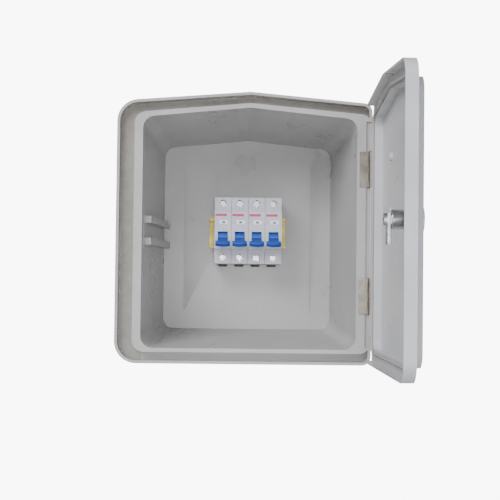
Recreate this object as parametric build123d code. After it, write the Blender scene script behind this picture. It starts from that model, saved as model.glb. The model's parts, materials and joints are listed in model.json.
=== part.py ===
from build123d import *
import math
import os

# DC combiner box: a moulded wall enclosure with a gabled top, a side-hung door shown open, and four
# modular DC circuit breakers on a short top-hat rail.
# Millimetres. +Z is up, the front faces -Y, the wall is at y = 0 and the hinges are on the +X side.

# ---- enclosure, driving sizes ----
foot_height = 10.0  # rear feet, from the wall to the rear panel
wall = 3.5  # shell thickness
cavity_depth = 140.0  # back panel to the front land
mouth_half_width = 107.0
mouth_bottom = -115.0
mouth_shoulder = 115.0
mouth_apex = 125.6
draft = 14.0  # how far each cavity wall leans in from mouth to back panel
mouth_corner = 12.0
flange_left = 26.0
flange_right = 15.0
flange_top = 16.0
flange_bottom = 15.5
rim_corner = 22.0  # left corners
rim_corner_right = 9.0
apex_round = 25.0
lip = 3.0  # outer lip of the rim
collar_left = 8.5
collar_top = 4.5
collar_bottom = 4.0
gutter_depth = 12.0
gutter_floor = 3.0

# ---- wall fixing ----
foot_radius = 9.0
foot_spacing_x = 140.0
foot_spacing_z = 160.0
insert_radius = 4.0
insert_bore_radius = 2.5
insert_floor = 0.5  # closed end of each blind insert
press_gap = 0.02  # radial gap drawn round pressed and threaded pieces

# ---- raised panel and ribs ----
pad_width = 141.0
pad_height = 167.0
pad_centre_z = 1.7
pad_rise = 1.5
pad_ramp = 3.0
rib_setback = 16.0
rib_proud = 6.5
rib_thick = 7.0
rib_gap = 15.0
rib_centre_z = 2.5

# ---- door ----
door_open_deg = 90.0
door_gap = 3.0  # front land to door land when shut
door_wall = 3.0
door_dish = 8.0
dish_inset = 2.0  # dish recess inside the mouth outline
skirt_wall = 2.5
skirt_clearance = 1.0
skirt_reach = 4.5  # past the front land into the gutter
seal_width = 1.6
seal_inset = 0.4
fit_gap = 0.3  # between pieces that move or stand apart
bead_width = 2.5  # bead that closes the gap on the hinge side
bead_top = 100.0
mark_radius = 3.8
mark_from_hinge = 77.0
mark_heights = (69.0, 18.0)
mark_rise = 2.6

# ---- hinges ----
hinge_land = 11.0  # land between the mouth and the hinge edge
hinge_relief = 2.0  # rim stepped back behind the barrels
hinge_step = 2.0  # start of the step inside the hinge edge
hinge_step_half = 113.0  # half height of the step
upper_hinge_z = 65.2
lower_hinge_z = -61.6
hinge_length = 35.0
knuckles = 5
knuckle_radius = 2.1
knuckle_gap = 0.3
pin_radius = 1.2
pin_clearance = 0.05
pin_head = 0.8
leaf_thick = 1.1
leaf_start = 2.4  # leaf edge from the mouth
leaf_relief = 0.4  # leaf edge to the barrels
hinge_axis_out = 2.7  # axis outside the hinge edge
hinge_bar = 6.0  # door thickness under the leaf
leaf_screw_pitch = 25.0
leaf_screw_radius = 1.25
leaf_screw_head = 2.3
leaf_screw_length = 6.0
leaf_cross_half = 1.3
leaf_cross_width = 0.5
leaf_cross_depth = 0.7

# ---- lock ----
lock_from_mouth = 15.0
lock_barrel_radius = 8.0
lock_flange_radius = 11.0
lock_flange = 2.0
lock_core_radius = 5.0
lock_nut_thick = 4.0
lock_running = 0.05
lock_sink = 0.6  # core below the flange face
key_slot_half = 3.0
key_slot_width = 1.6
key_slot_depth = 6.0
cam_setback = 10.0  # front land to the cam when shut
cam_thick = 3.0
cam_width = 11.0
cam_reach = 20.0
cam_square = 7.0
cam_step = 0.5  # barrel end to the cam
cam_screw_radius = 1.6
cam_screw_length = 6.5
cam_screw_head = 5.0
cam_screw_head_thick = 2.5
keeper_depth = 7.0
keeper_clearance = 1.0

# ---- rail ----
rail_length = 85.0
rail_width = 35.0
rail_height = 7.5
rail_sheet = 1.0
rail_web = 27.0
rail_centre_z = 6.5
rail_screw_x = 27.0
rail_screw_radius = 1.9
rail_screw_head = 3.6
rail_screw_head_thick = 2.4
rail_cross_half = 2.2
rail_cross_width = 0.8
rail_cross_depth = 1.2
rail_screw_length = 9.0
rail_hole_spare = 0.5  # hole past the screw's end
rail_boss_radius = 5.0
rail_boss_share = 0.6  # boss face, as a share of the foot height

# ---- breakers ----
breaker_count = 4
module = 18.0
breaker_gap = 0.3
breaker_height = 71.0
shoulder = 46.0  # rail face to the terminal faces
nose = 57.0  # rail face to the nose face
nose_height = 40.0
heel = 5.0  # body behind the rail face
case_wall = 1.5
case_skin = 2.0
case_floor = 3.0
hook_reach = 2.0  # fixed hook behind the rail's upper flange
bay_line = 25.2  # outer face of the partition to the terminals
partition = 1.2
toggle_axis = 53.0  # out from the rail face
toggle_axis_up = -7.0  # from the breaker's middle
toggle_drum = 5.0
toggle_width = 10.0
toggle_stem = 3.2
toggle_grip_width = 15.6
toggle_grip = 5.0
toggle_grip_start = 11.0
toggle_reach = 16.5
toggle_crown = 1.2  # middle of the grip past its ends
toggle_round = 1.2
toggle_rest_deg = -35.0
toggle_pin = 1.5
terminal_offset = 29.3
terminal_hole = 3.6
terminal_screw_head = 3.1
terminal_screw_shank = 2.0
terminal_screw_out = 36.0  # rail face to the screw's head
terminal_cross_half = 2.2
terminal_cross_width = 0.9
terminal_cross_depth = 1.5
rivet_radius = 1.5
rivet_post = 2.8
rivet_in = 6.5
rivet_out = 40.5
rivet_up = 21.0
pin_cover = 1.0  # case wall left outside each pin
pin_post = 3.2
post_clearance = 1.2
contact_axis_out = 26.0
contact_axis_up = -8.0
contact_open_deg = 11.0
contact_width = 3.6
contact_thick = 3.0
contact_length = 20.0
contact_tip = 4.0
contact_hub = 3.2
strip_half = 3.0
strip_in = 14.2
strip_out = 15.7
strip_overlap = 7.0  # strip inside the clamp
wire_half = 3.6
wire_in = 16.2
clamp_in = 13.8
clamp_out = 26.8
clamp_wall = 1.0
clamp_clearance = 0.4
terminal_head_thick = 3.0
coil_up = -15.0
coil_radius = 4.5
coil_bore = 2.2
coil_in = 10.0
coil_out = 22.0
coil_core_proud = 0.8
chute_plates = 6
chute_in = 22.0
chute_pitch = 2.4
chute_plate = 1.0
chute_half = 6.0
chute_low = 14.5
bimetal_half = 4.0
bimetal_thick = 1.0
bimetal_in = 25.0
bimetal_out = 37.0
clip_width = 10.0
clip_thick = 2.0
clip_travel = 3.0
clip_release = 1.0  # clear of the rail when pulled
clip_tab = 2.5

# ---- derived places ----
rear_face = -foot_height
panel_face = rear_face - wall
front = panel_face - cavity_depth
pad_face = panel_face - pad_rise
rail_face = pad_face - rail_height
hinge_edge = mouth_half_width + hinge_land
hinge_x = hinge_edge + hinge_axis_out
hinge_y = front - door_gap / 2
land_face = front - door_gap
gable = mouth_apex - mouth_shoulder
back_half_width = mouth_half_width - draft
back_gable = gable * back_half_width / mouth_half_width
lock_x = -mouth_half_width + lock_from_mouth
lock_z = rib_centre_z

os.makedirs("parts", exist_ok=True)


def save(name, pieces):
    """Writes one node; a list of pieces becomes a group of separate solids."""
    solids = []
    for piece in pieces if isinstance(pieces, list) else [pieces]:
        solids.extend(piece.solids())
    shape = solids[0] if len(solids) == 1 else Compound(children=solids)
    shape.label = name
    export_step(shape, f"parts/{name}.step")


def block(x0, x1, y0, y1, z0, z1):
    """Box between two opposite corners, in any order."""
    centre = ((x0 + x1) / 2, (y0 + y1) / 2, (z0 + z1) / 2)
    return Pos(*centre) * Box(abs(x1 - x0), abs(y1 - y0), abs(z1 - z0))


def rod_y(x, z, radius, y0, y1):
    """Round bar along Y."""
    return Pos(x, (y0 + y1) / 2, z) * Rot(90, 0, 0) * Cylinder(radius, abs(y1 - y0))


def rod_x(y, z, radius, x0, x1):
    """Round bar along X."""
    return Pos((x0 + x1) / 2, y, z) * Rot(0, 90, 0) * Cylinder(radius, abs(x1 - x0))


def rod_z(x, y, radius, z0, z1):
    """Round bar along Z."""
    return Pos(x, y, (z0 + z1) / 2) * Cylinder(radius, abs(z1 - z0))


def cross(x, z, face, depth, half, width):
    """Cross recess in a screw head; depth is along +Y from the head's face."""
    flat = block(x - half, x + half, face, face + depth, z - width / 2, z + width / 2)
    upright = block(x - width / 2, x + width / 2, face, face + depth, z - half, z + half)
    return flat + upright


def gabled(y, left, right, bottom, shoulder_z, apex_z, corner, right_corner=None):
    """Upright face at depth y: a rectangle whose top rises to a rounded apex at x = 0."""
    points = [(left, bottom), (right, bottom), (right, shoulder_z), (0, apex_z), (left, shoulder_z)]
    outline = Polyline(*points, close=True)
    face = make_face(outline)
    for x, radius in ((left, corner), (right, right_corner or corner), (0, apex_round)):
        face = fillet([v for v in face.vertices() if abs(v.X - x) < 0.01], radius)
    return Pos(0, y, 0) * Rot(90, 0, 0) * face


def slab(y0, y1, *outline):
    """Gabled plate between two depths."""
    near = max(y0, y1)
    return extrude(gabled(near, *outline), amount=abs(y1 - y0), dir=(0, -1, 0))


def mouth(grow, corner):
    """Mouth outline moved out by grow."""
    return (
        -mouth_half_width - grow,
        mouth_half_width + grow,
        mouth_bottom - grow,
        mouth_shoulder + grow,
        mouth_apex + grow,
        corner,
    )


def rim(inset, right):
    """Rim outline moved in by inset, with its own right edge."""
    return (
        -mouth_half_width - flange_left + inset,
        right,
        mouth_bottom - flange_bottom + inset,
        mouth_shoulder + flange_top + inset * (gable / mouth_half_width - 1),
        mouth_apex + flange_top - inset,
        rim_corner - inset,
        rim_corner_right - inset,
    )


def back(grow, corner):
    """Back panel outline moved out by grow."""
    return (
        -back_half_width - grow,
        back_half_width + grow,
        mouth_bottom + draft - grow,
        mouth_shoulder - draft + grow,
        mouth_shoulder - draft + back_gable + grow,
        corner,
    )


def cavity_wall_x(depth):
    """Half width of the cavity at a depth behind the front land."""
    return mouth_half_width - draft * depth / cavity_depth


def foot_places():
    return [(sx * foot_spacing_x / 2, sz * foot_spacing_z / 2) for sx in (-1, 1) for sz in (-1, 1)]


def rail_screw_places():
    return [(-rail_screw_x, rail_centre_z), (rail_screw_x, rail_centre_z)]


def leaf_screw_places():
    """Height of each leaf screw."""
    return [z + dz * leaf_screw_pitch / 2 for z in (lower_hinge_z, upper_hinge_z) for dz in (-1, 1)]


leaf_screw_x = (mouth_half_width + leaf_start + hinge_edge) / 2


def make_shell():
    outer_back = gabled(rear_face, *back(wall, mouth_corner))
    outer = loft([outer_back, gabled(front, *mouth(wall, mouth_corner + wall))])
    flange_back = front + gutter_depth + gutter_floor
    rim_right = mouth_half_width + flange_right
    flange = slab(front, flange_back, *rim(0, rim_right))
    shell = outer + flange

    # gutter round the top, the left and the bottom, open towards the front
    gutter = slab(front, front + gutter_depth, *rim(lip, rim_right - lip))
    collar = slab(
        front,
        front + gutter_depth,
        -mouth_half_width - collar_left,
        rim_right,
        mouth_bottom - collar_bottom,
        mouth_shoulder + collar_top,
        mouth_apex + collar_top,
        mouth_corner,
    )
    shell -= gutter - collar

    # hinge side stepped back for the barrels
    shell -= block(
        hinge_edge - hinge_step, rim_right + lip, front - lip, front + hinge_relief,
        -hinge_step_half, hinge_step_half,
    )

    # keeper block behind the left collar
    keeper_half = math.sqrt(cam_reach**2 + (cam_width / 2) ** 2) - keeper_clearance * 4
    keeper_front = front + cam_setback - keeper_clearance
    keeper_back = front + cam_setback + cam_thick + keeper_clearance
    keeper_x = -mouth_half_width - keeper_depth
    shell += block(
        keeper_x - wall, -mouth_half_width + wall / 2, front + gutter_depth, keeper_back + wall,
        lock_z - keeper_half - wall, lock_z + keeper_half + wall,
    )

    for x, z in foot_places():
        shell += rod_y(x, z, foot_radius, 0, rear_face - wall / 2)
    for x, z in rail_screw_places():
        boss_face = rear_face + foot_height * rail_boss_share
        shell += rod_y(x, z, rail_boss_radius, boss_face, rear_face - wall / 2)

    shell -= loft([gabled(panel_face, *back(0, mouth_corner)), gabled(front, *mouth(0, mouth_corner))])

    # raised mounting panel
    levels = []
    for y, ramp in ((panel_face, pad_ramp), (pad_face, -pad_ramp)):
        outline = Rot(90, 0, 0) * Rectangle(pad_width + ramp, pad_height + ramp)
        levels.append(Pos(0, y, pad_centre_z) * outline)
    shell += loft(levels)

    # two ribs on the left wall, front to back
    for side in (-1, 1):
        z_low = rib_centre_z + side * (rib_gap + rib_thick) / 2 - rib_thick / 2
        x_front = -cavity_wall_x(rib_setback)
        points = [
            (x_front - wall / 2, front + rib_setback),
            (x_front + rib_proud, front + rib_setback),
            (-back_half_width + rib_proud, panel_face),
            (-back_half_width - wall / 2, panel_face),
        ]
        plan = Pos(0, 0, z_low) * make_face(Polyline(*points, close=True))
        shell += extrude(plan, amount=rib_thick, dir=(0, 0, 1))

    shell -= block(
        keeper_x, -mouth_half_width + wall, keeper_front, keeper_back,
        lock_z - keeper_half, lock_z + keeper_half,
    )
    for x, z in foot_places():
        shell -= rod_y(x, z, insert_radius + press_gap, 0, rear_face)
    for x, z in rail_screw_places():
        shell -= rod_y(x, z, rail_screw_radius + press_gap, pad_face, pad_face + rail_screw_length)
    for z in leaf_screw_places():
        shell -= rod_y(leaf_screw_x, z, leaf_screw_radius + press_gap, front, front + leaf_screw_length)
    return shell


def make_inserts():
    pieces = []
    for x, z in foot_places():
        body = rod_y(x, z, insert_radius, 0, rear_face + press_gap)
        pieces.append(body - rod_y(x, z, insert_bore_radius, 0, rear_face + insert_floor))
    return pieces


def make_rail():
    half = rail_length / 2
    rail = block(-half, half, pad_face, pad_face - rail_sheet, -rail_web / 2, rail_web / 2)
    for side in (-1, 1):
        inner = side * (rail_web / 2 - rail_sheet)
        rail += block(-half, half, pad_face, rail_face, inner, side * rail_web / 2)
        rail += block(-half, half, rail_face, rail_face + rail_sheet, inner, side * rail_width / 2)
    rail = Pos(0, 0, rail_centre_z) * rail
    for x, z in rail_screw_places():
        rail -= rod_y(x, z, rail_screw_radius + fit_gap, pad_face, pad_face - rail_sheet)
    return rail


def make_rail_screws():
    pieces = []
    seat = pad_face - rail_sheet
    for x, z in rail_screw_places():
        head = seat - rail_screw_head_thick
        screw = rod_y(x, z, rail_screw_radius, seat, pad_face + rail_screw_length - rail_hole_spare)
        screw += rod_y(x, z, rail_screw_head, seat, head)
        pieces.append(screw - cross(x, z, head, rail_cross_depth, rail_cross_half, rail_cross_width))
    return pieces


def make_leaf(centre_z, facing):
    """One hinge leaf with its knuckles; facing -1 lies on the box, 1 on the door."""
    seat = hinge_y - facing * door_gap / 2
    top = seat + facing * leaf_thick
    low = centre_z - hinge_length / 2
    step = hinge_length / knuckles
    plate_edge = hinge_x - knuckle_radius - leaf_relief
    leaf = block(mouth_half_width + leaf_start, plate_edge, seat, top, low, low + hinge_length)
    own = range(0, knuckles, 2) if facing == -1 else range(1, knuckles, 2)
    for index in own:
        z0 = low + index * step + knuckle_gap / 2
        z1 = low + (index + 1) * step - knuckle_gap / 2
        leaf += block(plate_edge - leaf_relief, hinge_x - pin_radius, seat, top, z0, z1)
        leaf += rod_z(hinge_x, hinge_y, knuckle_radius, z0, z1)
    leaf -= rod_z(hinge_x, hinge_y, pin_radius + pin_clearance, low - 1, low + hinge_length + 1)
    for dz in (-1, 1):
        z = centre_z + dz * leaf_screw_pitch / 2
        leaf -= rod_y(leaf_screw_x, z, leaf_screw_radius + press_gap, seat, top)
        leaf -= head_cone(z, facing, press_gap)
    return leaf


def head_cone(z, facing, grow):
    """Countersink, wide at the leaf's free face."""
    seat = hinge_y - facing * door_gap / 2
    middle = seat + facing * leaf_thick / 2
    turn = 90 if facing == -1 else -90
    cone = Cone(leaf_screw_radius + grow, leaf_screw_head + grow, leaf_thick)
    return Pos(leaf_screw_x, middle, z) * Rot(turn, 0, 0) * cone


def make_leaf_screws(facing):
    pieces = []
    seat = hinge_y - facing * door_gap / 2
    top = seat + facing * leaf_thick
    for z in leaf_screw_places():
        screw = rod_y(leaf_screw_x, z, leaf_screw_radius, top, top - facing * (leaf_screw_length - press_gap))
        screw += head_cone(z, facing, 0)
        recess = cross(leaf_screw_x, z, top, -facing * leaf_cross_depth, leaf_cross_half, leaf_cross_width)
        pieces.append(screw - recess)
    return pieces


def make_pin(centre_z):
    low = centre_z - hinge_length / 2
    pin = rod_z(hinge_x, hinge_y, pin_radius, low - pin_head, low + hinge_length + pin_head)
    for z in (low - pin_head, low + hinge_length):
        pin += rod_z(hinge_x, hinge_y, knuckle_radius, z, z + pin_head)
    return pin


def opened(shape):
    """Turns a piece drawn on the shut door to the rest pose, about the hinge axis."""
    return Pos(hinge_x, hinge_y, 0) * Rot(0, 0, door_open_deg) * Pos(-hinge_x, -hinge_y, 0) * shape


def door_outline(inset):
    return rim(lip + skirt_clearance + inset, hinge_edge - inset)


def make_door():
    dish_corner = mouth_corner - dish_inset
    panel = slab(land_face, land_face - door_wall, *door_outline(0))
    dish_back = land_face - door_dish
    panel += slab(land_face, dish_back - door_wall, *mouth(door_wall - dish_inset, dish_corner + door_wall))

    # skirt that drops into the gutter, none on the hinge side
    skirt = slab(land_face, front + skirt_reach, *door_outline(0))
    skirt -= slab(land_face - 1, front + skirt_reach + 1, *door_outline(skirt_wall))
    skirt -= block(
        mouth_half_width - dish_inset, hinge_edge + 1, land_face - 1, front + skirt_reach + 1,
        mouth_bottom - flange_bottom, mouth_apex + flange_top,
    )
    panel += skirt

    # bead that closes most of the gap beside the hinges
    reach = hinge_length / 2 + pin_head + fit_gap
    above = (upper_hinge_z + reach, bead_top)
    between = (lower_hinge_z + reach, upper_hinge_z - reach)
    below = (-bead_top, lower_hinge_z - reach)
    for z0, z1 in (above, between, below):
        panel += block(hinge_edge - bead_width, hinge_edge, land_face - door_wall, front - fit_gap, z0, z1)

    # thicker bar under the hinge leaves
    bar_half = mouth_shoulder - mouth_corner
    panel += block(mouth_half_width, hinge_edge, land_face, land_face - hinge_bar, -bar_half, bar_half)
    panel -= slab(land_face, dish_back, *mouth(-dish_inset, dish_corner))

    # round moulded marks on the inside
    for z in mark_heights:
        panel += rod_y(hinge_x - mark_from_hinge, z, mark_radius, dish_back + mark_rise, dish_back - 1)

    panel -= rod_y(lock_x, lock_z, lock_barrel_radius + press_gap, dish_back, dish_back - door_wall)
    hole_end = land_face - leaf_screw_length + leaf_thick
    for z in leaf_screw_places():
        panel -= rod_y(leaf_screw_x, z, leaf_screw_radius + press_gap, land_face, hole_end)
    return panel


def make_seal():
    seal_front = front - fit_gap
    outer = seal_inset + seal_width
    ring = slab(land_face, seal_front, *mouth(outer, mouth_corner + outer))
    return ring - slab(land_face - 1, seal_front + 1, *mouth(seal_inset, mouth_corner + seal_inset))


def make_lock():
    """Quarter-turn lock through the door; returns its pieces by name."""
    outside = land_face - door_dish - door_wall
    inside = land_face - door_dish
    cam_near = front + cam_setback
    barrel_end = cam_near - cam_step
    bore = lock_core_radius + lock_running
    body = rod_y(lock_x, lock_z, lock_flange_radius, outside, outside - lock_flange)
    body += rod_y(lock_x, lock_z, lock_barrel_radius, outside - lock_flange / 2, barrel_end)
    body -= rod_y(lock_x, lock_z, bore, outside - lock_flange - 1, barrel_end + 1)

    hexagon = RegularPolygon(lock_flange_radius, 6)
    nut = extrude(Pos(lock_x, inside, lock_z) * Rot(90, 0, 0) * hexagon, amount=lock_nut_thick, dir=(0, 1, 0))
    nut -= rod_y(lock_x, lock_z, lock_barrel_radius + press_gap, inside - 1, inside + lock_nut_thick + 1)

    head = outside - lock_flange + lock_sink
    core = rod_y(lock_x, lock_z, lock_core_radius, head, barrel_end)
    slot_half = key_slot_width / 2
    core -= block(
        lock_x - slot_half, lock_x + slot_half, head, head + key_slot_depth,
        lock_z - key_slot_half, lock_z + key_slot_half,
    )
    half = cam_square / 2
    under = cam_near + cam_thick
    core += block(lock_x - half, lock_x + half, barrel_end, under, lock_z - half, lock_z + half)
    core -= rod_y(lock_x, lock_z, cam_screw_radius + press_gap, under - cam_screw_length - cam_step, under)

    cam = block(
        lock_x - cam_width / 2, lock_x + cam_width / 2, cam_near, under,
        lock_z - cam_reach, lock_z + cam_width / 2,
    )
    gap = half + press_gap
    cam -= block(lock_x - gap, lock_x + gap, cam_near, under, lock_z - gap, lock_z + gap)

    face = under + cam_screw_head_thick
    screw = rod_y(lock_x, lock_z, cam_screw_radius, under - cam_screw_length, under)
    screw += rod_y(lock_x, lock_z, cam_screw_head, under, face)
    screw -= block(
        lock_x - key_slot_half, lock_x + key_slot_half, face - cam_screw_head_thick / 2, face,
        lock_z - key_slot_width / 2, lock_z + key_slot_width / 2,
    )
    return {"lock_body": body, "lock_nut": nut, "lock_core": core, "lock_cam": cam, "lock_screw": screw}


# ---- breakers ----
# A breaker is drawn at x = 0 in its own directions: out is away from the rail face, up is from its middle.


def at(out):
    """Depth of a distance out from the rail face."""
    return rail_face - out


def bit(half_x, out0, out1, up0, up1):
    """Box centred on the breaker's middle plane."""
    return block(-half_x, half_x, at(out0), at(out1), up0, up1)


def breaker_places():
    """Middle plane of each breaker."""
    return [(index - (breaker_count - 1) / 2) * module for index in range(breaker_count)]


def placed(shape, x):
    return Pos(x, 0, rail_centre_z) * shape


half_case = (module - breaker_gap) / 2
half_tall = breaker_height / 2
half_nose = nose_height / 2
clip_gap_in = rail_sheet + fit_gap
clip_gap_out = clip_gap_in + clip_thick + 2 * fit_gap
rivets = [(out, up) for out in (rivet_in, rivet_out) for up in (rivet_up, -rivet_up)]


def make_case():
    """Whole case with its hollow; it is split into two halves on the middle plane."""
    case = bit(half_case, 0, shoulder, -half_tall, half_tall)
    case += bit(half_case, shoulder - 1, nose, -half_nose, half_nose)
    rail_edge = rail_width / 2 + fit_gap
    case += bit(half_case, -heel, 1, rail_edge, half_tall)
    case += bit(half_case, -heel, 1, -half_tall, -rail_edge)
    # fixed hook behind the upper flange of the rail
    case += bit(half_case, -heel, -clip_gap_in, rail_edge - hook_reach, rail_edge + hook_reach)

    inside = half_case - case_wall
    end = half_tall - case_skin
    hollow = bit(inside, case_floor, shoulder - case_skin, -bay_line + partition, bay_line - partition)
    nose_end = half_nose - case_skin
    hollow += bit(inside, shoulder - case_skin - 1, nose - case_skin, -nose_end, nose_end)
    for side in (-1, 1):
        hollow += bit(inside, case_floor, shoulder - case_skin, side * bay_line, side * end)
    for out, up in rivets:
        hollow -= rod_x(at(out), up, rivet_post, -half_case, half_case)
    for side in (-1, 1):
        toggle_post_end = side * (toggle_width / 2 + fit_gap)
        hollow -= rod_x(at(toggle_axis), toggle_axis_up, pin_post, toggle_post_end, side * half_case)
        contact_post_end = side * (contact_width / 2 + post_clearance)
        hollow -= rod_x(at(contact_axis_out), contact_axis_up, pin_post, contact_post_end, side * half_case)
    case -= hollow

    # toggle slot, terminal holes, wire entries and strip slots
    slot = toggle_drum + fit_gap
    slot_in = nose - case_skin - 1
    case -= bit(toggle_width / 2 + fit_gap, slot_in, nose + 1, toggle_axis_up - slot, toggle_axis_up + slot)
    for side in (-1, 1):
        up = side * terminal_offset
        case -= rod_y(0, up, terminal_hole, at(shoulder - case_skin - 1), at(shoulder + 1))
        case -= bit(wire_half, wire_in, clamp_out, side * (end - 1), side * (half_tall + 1))
        near = side * (bay_line + 1)
        far = side * (bay_line - partition - 1)
        case -= bit(strip_half + 2 * fit_gap, strip_in - fit_gap, strip_out + fit_gap, near, far)
    clip_room = -rail_edge + clip_travel
    case -= bit(clip_width / 2 + fit_gap, -clip_gap_out, -clip_gap_in, -half_tall - 1, clip_room)
    for out, up in rivets:
        case -= rod_x(at(out), up, rivet_radius + press_gap, -half_case - 1, half_case + 1)
    pin_end = half_case - pin_cover
    case -= rod_x(at(toggle_axis), toggle_axis_up, toggle_pin + press_gap, -pin_end, pin_end)
    case -= rod_x(at(contact_axis_out), contact_axis_up, toggle_pin + press_gap, -pin_end, pin_end)
    return case


def make_clip():
    near = clip_gap_in + fit_gap
    far = near + clip_thick
    top = -rail_width / 2 + clip_travel - clip_release
    return bit(clip_width / 2, -far, -near, -half_tall - clip_tab, top)


def make_toggle():
    half_drum = toggle_width / 2
    toggle = rod_x(0, 0, toggle_drum, -half_drum, half_drum)
    stem_end = toggle_grip_start + toggle_grip / 2
    toggle += block(-half_drum, half_drum, -toggle_drum / 2, -stem_end, -toggle_stem / 2, toggle_stem / 2)

    # wide finger grip with a bowed outer edge
    half_grip = toggle_grip_width / 2
    grip_end = -toggle_reach + toggle_crown
    start = -toggle_grip_start
    sides = Polyline((-half_grip, grip_end), (-half_grip, start), (half_grip, start), (half_grip, grip_end))
    bow = ThreePointArc((half_grip, grip_end), (0, -toggle_reach), (-half_grip, grip_end))
    grip = extrude(make_face(sides + bow), amount=toggle_grip / 2, both=True)
    toggle += fillet(grip.edges().filter_by(Axis.Z, reverse=True), toggle_round)
    toggle -= rod_x(0, 0, toggle_pin + pin_clearance, -half_drum, half_drum)
    return Pos(0, at(toggle_axis), toggle_axis_up) * Rot(-toggle_rest_deg, 0, 0) * toggle


def make_contact_arm():
    """Moving contact, standing open; its tip goes back to the fixed contact."""
    half = contact_width / 2
    arm = rod_x(0, 0, contact_hub, -half, half)
    arm += block(-half, half, -contact_thick / 2, contact_thick / 2, 0, contact_length)
    tip_start = contact_length - contact_tip
    arm += block(-half, half, contact_thick / 2, contact_thick, tip_start, contact_length)
    arm -= rod_x(0, 0, toggle_pin + pin_clearance, -half, half)
    return Pos(0, at(contact_axis_out), contact_axis_up) * arm


def make_fixed_contact():
    """Copper strip from the upper clamp to its contact pad."""
    arm_tip = contact_axis_up + contact_length - contact_tip / 2
    strip = bit(strip_half, strip_in, strip_out, arm_tip - strip_half, bay_line + strip_overlap)
    gap = contact_length * math.tan(math.radians(contact_open_deg))
    pad_top = contact_axis_out - contact_thick - gap - fit_gap
    strip += bit(contact_width / 2, strip_in, pad_top, arm_tip - contact_tip / 2, arm_tip + contact_tip / 2)
    return strip


def make_internals():
    """Inner pieces of one breaker by node name."""
    end = half_tall - case_skin
    pin_end = half_case - pin_cover - press_gap
    rivet_end = half_case - press_gap
    clamps = []
    screws = []
    for side in (-1, 1):
        inner = side * (bay_line + 2 * clamp_clearance)
        outer = side * (end - clamp_clearance)
        up = side * terminal_offset
        clamp = bit(wire_half + clamp_wall, clamp_in - clamp_wall, clamp_out + clamp_wall, inner, outer)
        clamp -= bit(wire_half, clamp_in, clamp_out, inner, outer)
        clamp -= rod_y(0, up, terminal_screw_shank + press_gap, at(clamp_out), at(clamp_out + clamp_wall))
        clamps.append(clamp)
        screw = rod_y(0, up, terminal_screw_shank, at(clamp_out + press_gap), at(terminal_screw_out))
        head_face = at(terminal_screw_out)
        screw += rod_y(0, up, terminal_screw_head, head_face + terminal_head_thick, head_face)
        recess = cross(0, up, head_face, terminal_cross_depth, terminal_cross_half, terminal_cross_width)
        screws.append(screw - recess)
    coil = rod_y(0, coil_up, coil_radius, at(coil_in), at(coil_out))
    coil -= rod_y(0, coil_up, coil_bore, at(coil_in), at(coil_out))
    core = rod_y(0, coil_up, coil_bore - press_gap, at(coil_in), at(coil_out + coil_core_proud))
    chute = []
    for index in range(chute_plates):
        out = chute_in + index * chute_pitch
        chute.append(bit(chute_half, out, out + chute_plate, chute_low, bay_line - partition - chute_plate))
    bimetal_up = coil_up - coil_radius - fit_gap
    bimetal = bit(bimetal_half, bimetal_in, bimetal_out, bimetal_up - bimetal_thick, bimetal_up)
    strip = bit(strip_half, strip_in, strip_out, -bay_line - strip_overlap, bimetal_up)
    return {
        "terminal_clamps": clamps,
        "terminal_screws": screws,
        "trip_coils": [coil],
        "trip_cores": [core],
        "arc_chute_plates": chute,
        "bimetal_strips": [bimetal],
        "load_strips": [strip],
        "fixed_contacts": [make_fixed_contact()],
        "toggle_pins": [rod_x(at(toggle_axis), toggle_axis_up, toggle_pin, -pin_end, pin_end)],
        "contact_pins": [rod_x(at(contact_axis_out), contact_axis_up, toggle_pin, -pin_end, pin_end)],
        "case_rivets": [rod_x(at(out), up, rivet_radius, -rivet_end, rivet_end) for out, up in rivets],
    }


def make_breakers():
    case = make_case()
    cutter = block(-module, 0, rail_face + module, at(nose + 5), -breaker_height, breaker_height)
    left = case & cutter
    right = case - cutter
    toggle = make_toggle()
    clip = make_clip()
    arm = make_contact_arm()
    groups = {}
    for number, x in enumerate(breaker_places(), start=1):
        save(f"breaker_{number}_case_left", placed(left, x))
        save(f"breaker_{number}_case_right", placed(right, x))
        save(f"breaker_{number}_toggle", placed(toggle, x))
        save(f"breaker_{number}_rail_clip", placed(clip, x))
        save(f"breaker_{number}_moving_contact", placed(arm, x))
        for name, pieces in make_internals().items():
            groups.setdefault(name, []).extend(placed(piece, x) for piece in pieces)
    for name, pieces in groups.items():
        save(name, pieces)


def main():
    save("enclosure_shell", make_shell())
    save("wall_inserts", make_inserts())
    save("din_rail", make_rail())
    save("rail_screws", make_rail_screws())
    for name, z in (("upper", upper_hinge_z), ("lower", lower_hinge_z)):
        save(f"{name}_hinge_box_leaf", make_leaf(z, -1))
        save(f"{name}_hinge_door_leaf", opened(make_leaf(z, 1)))
        save(f"{name}_hinge_pin", make_pin(z))
    save("box_leaf_screws", make_leaf_screws(-1))
    save("door_leaf_screws", [opened(screw) for screw in make_leaf_screws(1)])
    save("door_panel", opened(make_door()))
    save("door_seal", opened(make_seal()))
    for name, piece in make_lock().items():
        save(name, opened(piece))
    make_breakers()


main()
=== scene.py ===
import json
import math

import bpy
from mathutils import Matrix, Vector


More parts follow.
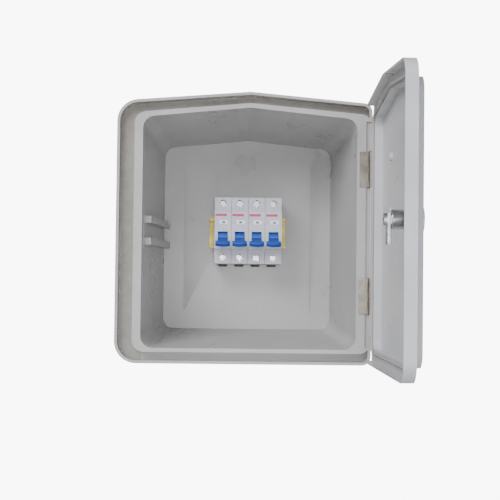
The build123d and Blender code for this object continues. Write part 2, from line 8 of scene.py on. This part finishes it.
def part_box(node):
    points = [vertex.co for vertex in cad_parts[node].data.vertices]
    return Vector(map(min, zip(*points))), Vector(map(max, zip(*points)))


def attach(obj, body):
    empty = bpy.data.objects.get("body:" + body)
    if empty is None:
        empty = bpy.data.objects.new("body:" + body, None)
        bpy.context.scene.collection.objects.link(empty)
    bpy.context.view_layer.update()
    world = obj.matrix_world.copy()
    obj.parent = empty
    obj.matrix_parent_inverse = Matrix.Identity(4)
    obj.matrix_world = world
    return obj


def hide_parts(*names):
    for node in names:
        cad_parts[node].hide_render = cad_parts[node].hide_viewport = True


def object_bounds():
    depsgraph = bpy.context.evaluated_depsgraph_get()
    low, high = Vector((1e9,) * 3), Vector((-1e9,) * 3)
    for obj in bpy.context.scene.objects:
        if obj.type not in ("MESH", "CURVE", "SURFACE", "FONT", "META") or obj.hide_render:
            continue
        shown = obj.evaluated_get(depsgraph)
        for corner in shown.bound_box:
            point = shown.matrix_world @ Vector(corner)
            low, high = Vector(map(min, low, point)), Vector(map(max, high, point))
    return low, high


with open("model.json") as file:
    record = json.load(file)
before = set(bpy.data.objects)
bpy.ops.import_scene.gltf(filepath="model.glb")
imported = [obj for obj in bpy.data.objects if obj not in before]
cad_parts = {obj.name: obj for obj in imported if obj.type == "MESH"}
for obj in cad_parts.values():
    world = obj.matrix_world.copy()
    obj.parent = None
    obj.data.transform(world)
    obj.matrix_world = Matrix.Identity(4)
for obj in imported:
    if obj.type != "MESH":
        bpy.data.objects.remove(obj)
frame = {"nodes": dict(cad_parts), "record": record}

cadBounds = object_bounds()
record = frame["record"]
nodes = frame["nodes"]
print("frame loaded", len(nodes), "nodes")

mm = 0.001
breakerNumbers = (1, 2, 3, 4)
shellLow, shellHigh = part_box("enclosure_shell")


# small helpers
def hexColour(text):  # sRGB hex to linear
    values = [int(text[i:i + 2], 16) / 255 for i in (0, 2, 4)]
    linear = [v / 12.92 if v <= 0.04045 else ((v + 0.055) / 1.055) ** 2.4 for v in values]
    return (*linear, 1.0)


def addNode(tree, kind, settings=None, inputs=None):  # one node with its settings, values and links
    node = tree.nodes.new(kind)
    for key, value in (settings or {}).items():
        setattr(node, key, value)
    for key, value in (inputs or {}).items():
        if isinstance(value, bpy.types.NodeSocket):
            tree.links.new(value, node.inputs[key])
        else:
            node.inputs[key].default_value = value
    return node


def newMaterial(name):
    material = bpy.data.materials.new(name)
    material.use_nodes = True
    tree = material.node_tree
    tree.nodes.clear()
    shader = addNode(tree, "ShaderNodeBsdfPrincipled")
    addNode(tree, "ShaderNodeOutputMaterial", None, {"Surface": shader.outputs["BSDF"]})
    place = addNode(tree, "ShaderNodeTexCoord").outputs["Object"]
    return material, tree, shader, place


def ramp(tree, value, low, high, start=0.3, end=0.7):  # colour between two hex tones
    node = addNode(tree, "ShaderNodeValToRGB", None, {"Fac": value})
    node.color_ramp.elements[0].position = start
    node.color_ramp.elements[0].color = hexColour(low)
    node.color_ramp.elements[1].position = end
    node.color_ramp.elements[1].color = hexColour(high)
    return node.outputs["Color"]


def spread(tree, value, low, high, start=0.3, end=0.7):  # number between two limits
    node = addNode(tree, "ShaderNodeMapRange", None,
                   {"Value": value, "From Min": start, "From Max": end, "To Min": low, "To Max": high})
    return node.outputs["Result"]


def noise(tree, place, sizeMm, detail=2.0, roughness=0.5, stretch=None):  # noise with features of a real size
    if stretch:
        mapping = addNode(tree, "ShaderNodeMapping", None, {"Vector": place, "Scale": stretch})
        place = mapping.outputs["Vector"]
    node = addNode(tree, "ShaderNodeTexNoise", None,
                   {"Vector": place, "Scale": 1 / (sizeMm * mm), "Detail": detail, "Roughness": roughness})
    return node.outputs["Fac"]


def bump(tree, height, distanceMm, strength=1.0, normal=None):
    inputs = {"Height": height, "Distance": distanceMm * mm, "Strength": strength}
    if normal is not None:
        inputs["Normal"] = normal
    return addNode(tree, "ShaderNodeBump", None, inputs).outputs["Normal"]


def fade(tree, value, start, end, low=0.0, high=1.0):  # clamped step between two places, in metres
    node = addNode(tree, "ShaderNodeMapRange", None,
                   {"Value": value, "From Min": start, "From Max": end, "To Min": low, "To Max": high})
    return node.outputs["Result"]


def combine(tree, operation, first, second):
    return addNode(tree, "ShaderNodeMath", {"operation": operation}, {0: first, 1: second}).outputs["Value"]


# materials
# painted shade for the rim's channel: where it lies, its olive tone and how strong it is
channelShadePaint = {
    "depthMm": 12.0,  # channel depth
    "edgeMm": 1.0,  # fade at each edge
    "leftMm": 26.5,  # channel's inner edge from the left side
    "topMm": 15.5,  # the same from the apex
    "gable": 0.099,  # fall of the top per unit of width
    "tone": "6f6853",
    "strength": 0.62,
    "patchMm": 9,
    "patchLow": 0.75,
}


def channelShadeMask(tree, place):  # 1 inside the rim's channel along the left side and the top, where the painted shade goes
    split = addNode(tree, "ShaderNodeSeparateXYZ", None, {"Vector": place}).outputs
    face = shellLow.y
    edge = channelShadePaint["edgeMm"] * mm
    floorY = face + channelShadePaint["depthMm"] * mm
    behindFace = fade(tree, split["Y"], face + edge, face + 3 * edge)
    beforeBack = fade(tree, split["Y"], floorY + edge, floorY + 2 * edge, 1.0, 0.0)
    leftX = shellLow.x + channelShadePaint["leftMm"] * mm
    left = fade(tree, split["X"], leftX - edge, leftX, 1.0, 0.0)
    width = addNode(tree, "ShaderNodeMath", {"operation": "ABSOLUTE"}, {0: split["X"]}).outputs["Value"]
    slope = combine(tree, "MULTIPLY", width, channelShadePaint["gable"])
    height = combine(tree, "ADD", split["Z"], slope)
    topZ = shellHigh.z - channelShadePaint["topMm"] * mm
    top = fade(tree, height, topZ - edge, topZ)
    sides = combine(tree, "MAXIMUM", left, top)
    return combine(tree, "MULTIPLY", combine(tree, "MULTIPLY", behindFace, beforeBack), sides)


def makeShellPlastic(name, low, high, roughLow, roughHigh, channel=False):
    # glass-filled polyester, hot-pressed: a satin skin with slow waves and faint mottling
    material, tree, shader, place = newMaterial(name)
    cloud = noise(tree, place, 60, 3.0, 0.55)
    colour = ramp(tree, cloud, low, high, 0.35, 0.65)
    if channel:  # painted shade: a patchy grey-brown darkening in the rim's channel on the left side and top, the sides turned away from the key light
        patchy = spread(tree, noise(tree, place, channelShadePaint["patchMm"], 3.0), channelShadePaint["patchLow"], 1.0)
        amount = combine(tree, "MULTIPLY", channelShadeMask(tree, place), patchy)
        amount = combine(tree, "MULTIPLY", amount, channelShadePaint["strength"])
        mix = addNode(tree, "ShaderNodeMix", {"data_type": "RGBA"}, {0: amount})
        tree.links.new(colour, mix.inputs[6])
        mix.inputs[7].default_value = hexColour(channelShadePaint["tone"])
        colour = mix.outputs[2]
    tree.links.new(colour, shader.inputs["Base Color"])
    grain = noise(tree, place, 2.4, 1.0, 0.5)  # fibre print, drawn a little coarse so that it shows
    tree.links.new(spread(tree, cloud, roughLow, roughHigh), shader.inputs["Roughness"])
    waves = bump(tree, noise(tree, place, 45, 1.0, 0.3), 0.3, 0.3)
    skin = bump(tree, grain, 0.02, 0.3, waves)
    tree.links.new(skin, shader.inputs["Normal"])
    shader.inputs["IOR"].default_value = 1.52
    return material


def makeCasePlastic():
    # glass-filled nylon, spark-eroded mould: an even matt grain and a cool white-grey
    material, tree, shader, place = newMaterial("mouldedNylon")
    cloud = noise(tree, place, 14, 2.0)
    tree.links.new(ramp(tree, cloud, "b2b6c0", "bcc0ca"), shader.inputs["Base Color"])
    grain = noise(tree, place, 0.5, 2.0, 0.6)  # spark grain, drawn coarser than the real 0.1 mm
    tree.links.new(spread(tree, grain, 0.38, 0.52), shader.inputs["Roughness"])
    tree.links.new(bump(tree, grain, 0.03, 0.4), shader.inputs["Normal"])
    shader.inputs["IOR"].default_value = 1.53
    return material


def makeTogglePlastic():
    # acetal, polished mould: a deep blue with a soft sheen
    material, tree, shader, place = newMaterial("bluePolyacetal")
    cloud = noise(tree, place, 5, 2.0)
    tree.links.new(ramp(tree, cloud, "0a3a94", "0f479f"), shader.inputs["Base Color"])
    tree.links.new(spread(tree, cloud, 0.28, 0.4), shader.inputs["Roughness"])
    tree.links.new(bump(tree, noise(tree, place, 0.7, 2.0), 0.02, 0.4), shader.inputs["Normal"])
    shader.inputs["IOR"].default_value = 1.48
    return material


def makeClipPlastic():
    # dark nylon of the rail clips
    material, tree, shader, place = newMaterial("darkNylon")
    cloud = noise(tree, place, 4, 2.0)
    tree.links.new(ramp(tree, cloud, "2a2230", "3a3042"), shader.inputs["Base Color"])
    tree.links.new(spread(tree, cloud, 0.45, 0.6), shader.inputs["Roughness"])
    tree.links.new(bump(tree, noise(tree, place, 0.5, 2.0), 0.02, 0.5), shader.inputs["Normal"])
    return material


def makeHingeSteel():
    # nickel-plated steel strip: rolled grain along the leaf, dulled and slightly warm
    material, tree, shader, place = newMaterial("platedSteelStrip")
    cloud = noise(tree, place, 8, 3.0)
    tree.links.new(ramp(tree, cloud, "7f7a71", "9a958b"), shader.inputs["Base Color"])
    lines = noise(tree, place, 0.6, 3.0, 0.6, (1.0, 1.0, 0.06))
    tree.links.new(spread(tree, lines, 0.26, 0.44), shader.inputs["Roughness"])
    tree.links.new(bump(tree, lines, 0.02, 0.5), shader.inputs["Normal"])
    shader.inputs["Metallic"].default_value = 1.0
    return material


def makeRailSteel():
    # zinc-plated strip, yellow chromate: olive gold with a slow rainbow drift
    material, tree, shader, place = newMaterial("yellowChromateZinc")
    cloud = noise(tree, place, 12, 3.0, 0.6)
    tree.links.new(ramp(tree, cloud, "8d8248", "b3a25a"), shader.inputs["Base Color"])
    tree.links.new(spread(tree, noise(tree, place, 1.2, 3.0), 0.3, 0.48), shader.inputs["Roughness"])
    lines = noise(tree, place, 0.5, 2.0, 0.5, (0.05, 1.0, 1.0))
    tree.links.new(bump(tree, lines, 0.015, 0.4), shader.inputs["Normal"])
    shader.inputs["Metallic"].default_value = 0.9
    return material


def makeBrightSteel():
    # zinc-plated screws and clamps: bright, with a fine crystalline dulling
    material, tree, shader, place = newMaterial("brightZincSteel")
    cloud = noise(tree, place, 2.5, 3.0)
    tree.links.new(ramp(tree, cloud, "a3a29c", "c6c6c2"), shader.inputs["Base Color"])
    tree.links.new(spread(tree, cloud, 0.22, 0.4), shader.inputs["Roughness"])
    tree.links.new(bump(tree, noise(tree, place, 0.4, 2.0), 0.01, 0.5), shader.inputs["Normal"])
    shader.inputs["Metallic"].default_value = 1.0
    return material


def makeLockZinc():
    # zinc die casting, satin chrome plate
    material, tree, shader, place = newMaterial("platedZincCasting")
    cloud = noise(tree, place, 6, 2.0)
    tree.links.new(ramp(tree, cloud, "b4b5b6", "cfd0d1"), shader.inputs["Base Color"])
    tree.links.new(spread(tree, cloud, 0.16, 0.28), shader.inputs["Roughness"])
    tree.links.new(bump(tree, noise(tree, place, 1.0, 2.0), 0.015, 0.3), shader.inputs["Normal"])
    shader.inputs["Metallic"].default_value = 1.0
    return material


def makeBrass():
    # turned brass insert: rings from the tool
    material, tree, shader, place = newMaterial("turnedBrass")
    rings = noise(tree, place, 0.7, 2.0, 0.5, (1.0, 0.1, 1.0))
    tree.links.new(ramp(tree, rings, "b08d46", "cfae66"), shader.inputs["Base Color"])
    tree.links.new(spread(tree, rings, 0.2, 0.36), shader.inputs["Roughness"])
    tree.links.new(bump(tree, rings, 0.02, 0.5), shader.inputs["Normal"])
    shader.inputs["Metallic"].default_value = 1.0
    return material


def makeCopper():
    # bare copper strip, slightly darkened
    material, tree, shader, place = newMaterial("bareCopper")
    cloud = noise(tree, place, 3, 3.0)
    tree.links.new(ramp(tree, cloud, "9a5b3c", "c07a54"), shader.inputs["Base Color"])
    tree.links.new(spread(tree, cloud, 0.25, 0.42), shader.inputs["Roughness"])
    tree.links.new(bump(tree, noise(tree, place, 0.5, 2.0), 0.01, 0.4), shader.inputs["Normal"])
    shader.inputs["Metallic"].default_value = 1.0
    return material


def makeSealRubber():
    # pale grey foam seal: closed-cell skin, matt
    material, tree, shader, place = newMaterial("greyFoam")
    cells = noise(tree, place, 0.8, 3.0, 0.6)
    tree.links.new(ramp(tree, cells, "9b9893", "aaa7a1"), shader.inputs["Base Color"])
    tree.links.new(spread(tree, cells, 0.7, 0.85), shader.inputs["Roughness"])
    tree.links.new(bump(tree, cells, 0.08, 0.6), shader.inputs["Normal"])
    return material


def makePrint(name, low, high):
    # pad-printed ink: thin, a little uneven at its edge
    material, tree, shader, place = newMaterial(name)
    cloud = noise(tree, place, 0.8, 3.0, 0.7)
    tree.links.new(ramp(tree, cloud, low, high), shader.inputs["Base Color"])
    tree.links.new(spread(tree, cloud, 0.4, 0.55), shader.inputs["Roughness"])
    return material


def makeStage(name, low, high):
    # matt painted board, a faint roller mottle
    material, tree, shader, place = newMaterial(name)
    cloud = noise(tree, place, 220, 2.0)
    tree.links.new(ramp(tree, cloud, low, high), shader.inputs["Base Color"])
    tree.links.new(spread(tree, cloud, 0.75, 0.85), shader.inputs["Roughness"])
    return material


materials = {
    "shell": makeShellPlastic("pressedPolyester", "a4a3a1", "aeadac", 0.26, 0.34, channel=True),
    # the door takes the shell's polyester a step lighter and cooler: painted light, standing in for its lit
    # inner face
    "door": makeShellPlastic("pressedPolyesterLitDoor", "b4b6b8", "bec0c2", 0.26, 0.34),
    "case": makeCasePlastic(),
    "toggle": makeTogglePlastic(),
    "clip": makeClipPlastic(),
    "hinge": makeHingeSteel(),
    "rail": makeRailSteel(),
    "steel": makeBrightSteel(),
    "lock": makeLockZinc(),
    "brass": makeBrass(),
    "copper": makeCopper(),
    "seal": makeSealRubber(),
    "redPrint": makePrint("redPadPrint", "b0345c", "c0486c"),
    "greyPrint": makePrint("greyPadPrint", "8a8e9a", "a0a4b0"),
    "darkPrint": makePrint("darkPadPrint", "4a4e5c", "5a5e6c"),
    "paleLabel": makePrint("paleLabelFilm", "dfe2ea", "e8eaf0"),
    "floor": makeStage("paleBoard", "ececea", "f2f2f0"),
}
print("materials made", len(materials))


def dress(node, materialName):
    mesh = nodes[node].data
    mesh.materials.clear()
    mesh.materials.append(materials[materialName])


# finish of each node that comes over from the frame
nodeFinish = {
    "shell": ["enclosure_shell"],
    "door": ["door_panel"],
    "seal": ["door_seal"],
    "brass": ["wall_inserts"],
    "rail": ["din_rail"],
    "steel": ["rail_screws", "terminal_clamps", "terminal_screws", "trip_cores", "arc_chute_plates",
              "toggle_pins", "contact_pins", "case_rivets"],
    "hinge": ["upper_hinge_box_leaf", "lower_hinge_box_leaf", "upper_hinge_door_leaf",
              "lower_hinge_door_leaf", "upper_hinge_pin", "lower_hinge_pin", "box_leaf_screws",
              "door_leaf_screws"],
    "lock": ["lock_body", "lock_nut", "lock_core", "lock_cam", "lock_screw"],
    "copper": ["trip_coils", "bimetal_strips", "load_strips", "fixed_contacts"],
    "case": [], "toggle": [], "clip": [],
}
for number in breakerNumbers:
    nodeFinish["case"] += [f"breaker_{number}_case_left", f"breaker_{number}_case_right"]
    nodeFinish["toggle"].append(f"breaker_{number}_toggle")
    nodeFinish["clip"].append(f"breaker_{number}_rail_clip")
    nodeFinish["copper"].append(f"breaker_{number}_moving_contact")
for materialName, names in nodeFinish.items():
    for name in names:
        dress(name, materialName)


softening = {
    "mergeMm": 0.005,  # doubled points closer than this
    "flatDeg": 0.6,  # faces flatter than this become one
    "edgeDeg": 30,  # edges sharper than this are rounded
    "smoothDeg": 35,
    "faceWeight": 100,
}


def soften(node, body, materialName, edgeMm, segments):  # a copy with moulded or rolled edges
    bpy.ops.object.select_all(action="DESELECT")
    source = nodes[node]
    piece = source.copy()
    piece.data = source.data.copy()
    for key in list(piece.keys()):
        del piece[key]
    piece.name = node + ".soft"
    piece.parent = None
    bpy.context.scene.collection.objects.link(piece)
    piece.select_set(True)
    bpy.context.view_layer.objects.active = piece
    bpy.ops.object.mode_set(mode="EDIT")
    bpy.ops.mesh.select_all(action="SELECT")
    bpy.ops.mesh.remove_doubles(threshold=softening["mergeMm"] * mm)
    bpy.ops.mesh.dissolve_limited(angle_limit=math.radians(softening["flatDeg"]))
    bpy.ops.object.mode_set(mode="OBJECT")
    edge = piece.modifiers.new("edge", "BEVEL")
    edge.width = edgeMm * mm
    edge.segments = segments
    edge.limit_method = "ANGLE"
    edge.angle_limit = math.radians(softening["edgeDeg"])
    edge.use_clamp_overlap = True
    bpy.ops.object.modifier_apply(modifier="edge")
    bpy.ops.object.shade_smooth_by_angle(angle=math.radians(softening["smoothDeg"]))
    flat = piece.modifiers.new("flat", "WEIGHTED_NORMAL")  # keeps broad faces flat beside their rounded edges
    flat.weight = softening["faceWeight"]
    flat.keep_sharp = True
    bpy.ops.object.modifier_apply(modifier="flat")
    piece.data.materials.clear()
    piece.data.materials.append(materials[materialName])
    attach(piece, body)
    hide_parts(node)
    return piece


bodyOf = {node: body for body, members in record["behaviour"]["bodies"].items() for node in members}

softEdges = {  # node: (finish, edge in mm, segments)
    "enclosure_shell": ("shell", 0.9, 3),
    "door_panel": ("door", 0.9, 3),
    "door_seal": ("seal", 0.8, 3),
    "din_rail": ("rail", 0.25, 2),
    "upper_hinge_box_leaf": ("hinge", 0.2, 2),
    "lower_hinge_box_leaf": ("hinge", 0.2, 2),
    "upper_hinge_door_leaf": ("hinge", 0.2, 2),
    "lower_hinge_door_leaf": ("hinge", 0.2, 2),
    "lock_body": ("lock", 0.4, 3),
    "lock_nut": ("lock", 0.3, 2),
    "lock_cam": ("lock", 0.3, 2),
}
for number in breakerNumbers:
    softEdges[f"breaker_{number}_case_left"] = ("case", 0.3, 2)
    softEdges[f"breaker_{number}_case_right"] = ("case", 0.3, 2)
    softEdges[f"breaker_{number}_toggle"] = ("toggle", 0.35, 2)
    softEdges[f"breaker_{number}_rail_clip"] = ("clip", 0.25, 2)

for node, (materialName, edgeMm, segments) in softEdges.items():
    soften(node, bodyOf[node], materialName, edgeMm, segments)
print("edges softened", len(softEdges))


def plate(name, low, high, materialName, body, edgeMm):  # thin bevelled plate between two corners
    bpy.ops.object.select_all(action="DESELECT")
    centre = (Vector(low) + Vector(high)) / 2
    size = Vector(high) - Vector(low)
    bpy.ops.mesh.primitive_cube_add(size=1, location=centre)
    piece = bpy.context.active_object
    piece.scale = size
    bpy.ops.object.transform_apply(location=True, rotation=True, scale=True)
    bpy.ops.object.mode_set(mode="EDIT")
    bpy.ops.mesh.select_all(action="SELECT")
    bpy.ops.mesh.bevel(offset=edgeMm * mm, segments=2)
    bpy.ops.object.mode_set(mode="OBJECT")
    piece.name = name
    piece.data.materials.append(materials[materialName])
    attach(piece, body)
    return piece


# printed marks on the breakers
printMarks = {
    "riseMm": 0.06,  # ink thickness
    "edgeMm": 0.02,
    "marks": {  # left, right, bottom and top from the breaker's middle in mm, and the finish
        "bar": (-8.1, 4.2, 14.6, 17.3, "redPrint"),
        "rule": (-8.0, 5.5, 11.9, 12.2, "greyPrint"),
        "label": (-3.5, 5.5, 6.4, 10.5, "paleLabel"),
        "tick_1": (-8.0, -5.0, 9.7, 10.0, "greyPrint"),
        "tick_2": (-8.0, -5.4, 8.2, 8.5, "greyPrint"),
        "tick_3": (-8.0, -5.0, 6.7, 7.0, "greyPrint"),
    },
    "rating": (-0.7, 2.3, 7.2, 9.2, "darkPrint"),  # dark block on the label
}


def markBreaker(number):
    low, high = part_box(f"breaker_{number}_case_left")
    lowRight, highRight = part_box(f"breaker_{number}_case_right")
    middleX = (high.x + lowRight.x) / 2
    middleZ = (low.z + high.z) / 2
    noseY = min(low.y, lowRight.y)
    rise = printMarks["riseMm"] * mm

    def stamp(tag, mark, layers):
        left, right, bottom, top, finish = mark
        near = (middleX + left * mm, noseY - layers * rise, middleZ + bottom * mm)
        far = (middleX + right * mm, noseY + rise / 2, middleZ + top * mm)
        name = f"breaker_{number}_print_{tag}"
        plate(name, near, far, finish, "enclosure", printMarks["edgeMm"])

    for tag, mark in printMarks["marks"].items():
        stamp(tag, mark, 1)
    stamp("rating", printMarks["rating"], 2)


for number in breakerNumbers:
    markBreaker(number)
print("breakers marked")


# stage, light and camera
stage = {"width": 6.0, "dropMm": 1050}


def makeFloor():
    bpy.ops.object.select_all(action="DESELECT")
    floorZ = cadLow.z - stage["dropMm"] * mm
    bpy.ops.mesh.primitive_plane_add(size=stage["width"], location=(0, 0, floorZ))
    floor = bpy.context.active_object
    bpy.ops.object.transform_apply(location=True, rotation=True, scale=True)
    floor.name = "floor"
    floor.data.materials.append(materials["floor"])


def addArea(name, place, target, size, power, colour):
    light = bpy.data.lights.new(name, "AREA")
    light.shape = "SQUARE"
    light.size = size
    light.energy = power
    light.color = hexColour(colour)[:3]
    lamp = bpy.data.objects.new(name, light)
    bpy.context.scene.collection.objects.link(lamp)
    lamp.location = place
    lamp.rotation_euler = (Vector(target) - Vector(place)).to_track_quat("-Z", "Y").to_euler()


view = {  # metres and degrees, with the distance measured from the rim
    "distance": 1.08, "x": -0.0178, "z": -0.050, "pitch": 1.76, "yaw": -0.99, "roll": 0.68,
    "lens": 78.2, "sensor": 36,
}


def makeCamera():
    camera = bpy.data.objects.new("camera", bpy.data.cameras.new("camera"))
    bpy.context.scene.collection.objects.link(camera)
    camera.data.lens = view["lens"]
    camera.data.sensor_width = view["sensor"]
    turn = Matrix.Rotation(math.radians(view["yaw"]), 4, "Z")
    turn = turn @ Matrix.Rotation(math.radians(90 + view["pitch"]), 4, "X")
    turn = turn @ Matrix.Rotation(math.radians(view["roll"]), 4, "Z")
    camera.location = (view["x"], shellLow.y - view["distance"], view["z"])
    camera.rotation_euler = turn.to_euler()
    bpy.context.scene.camera = camera


studio = {"front": 0.75, "back": 0.22, "frontTone": "eef2fa", "backTone": "d8c8b4", "paper": 9.0}


def makeWorld():  # soft light that is strongest from the front; the paper behind is plain white
    world = bpy.data.worlds.new("studio")
    world.use_nodes = True
    tree = world.node_tree
    tree.nodes.clear()
    direction = addNode(tree, "ShaderNodeTexCoord").outputs["Generated"]
    split = addNode(tree, "ShaderNodeSeparateXYZ", None, {"Vector": direction}).outputs
    strength = fade(tree, split["Y"], -0.6, 0.5, studio["front"], studio["back"])
    towardsBack = fade(tree, split["Y"], -0.6, 0.5)
    tone = ramp(tree, towardsBack, studio["frontTone"], studio["backTone"], 0.0, 1.0)
    light = addNode(tree, "ShaderNodeBackground", None, {"Color": tone, "Strength": strength})
    paper = addNode(tree, "ShaderNodeBackground", None,
                    {"Color": hexColour("ffffff"), "Strength": studio["paper"]})
    seen = addNode(tree, "ShaderNodeLightPath").outputs["Is Camera Ray"]
    mixed = addNode(tree, "ShaderNodeMixShader", None,
                    {0: seen, 1: light.outputs["Background"], 2: paper.outputs["Background"]})
    addNode(tree, "ShaderNodeOutputWorld", None, {"Surface": mixed.outputs["Shader"]})
    bpy.context.scene.world = world


cadLow, cadHigh = Vector(cadBounds[0]), Vector(cadBounds[1])
middle = (cadLow + cadHigh) / 2
makeFloor()
makeWorld()
addArea("key", (-0.85, -1.5, 1.05), middle, 1.1, 44, "fdfbff")
addArea("fill", (0.3, -1.9, -0.45), middle, 1.2, 9, "f2f4ff")
addArea("window", (0.0, -1.32, -0.03), (0.0, 0.0, -0.04), 0.1, 2.4, "fffdf8")
addArea("rear", (0.9, 1.6, 0.9), middle, 1.6, 18, "fffaf2")
makeCamera()
print("stage set")
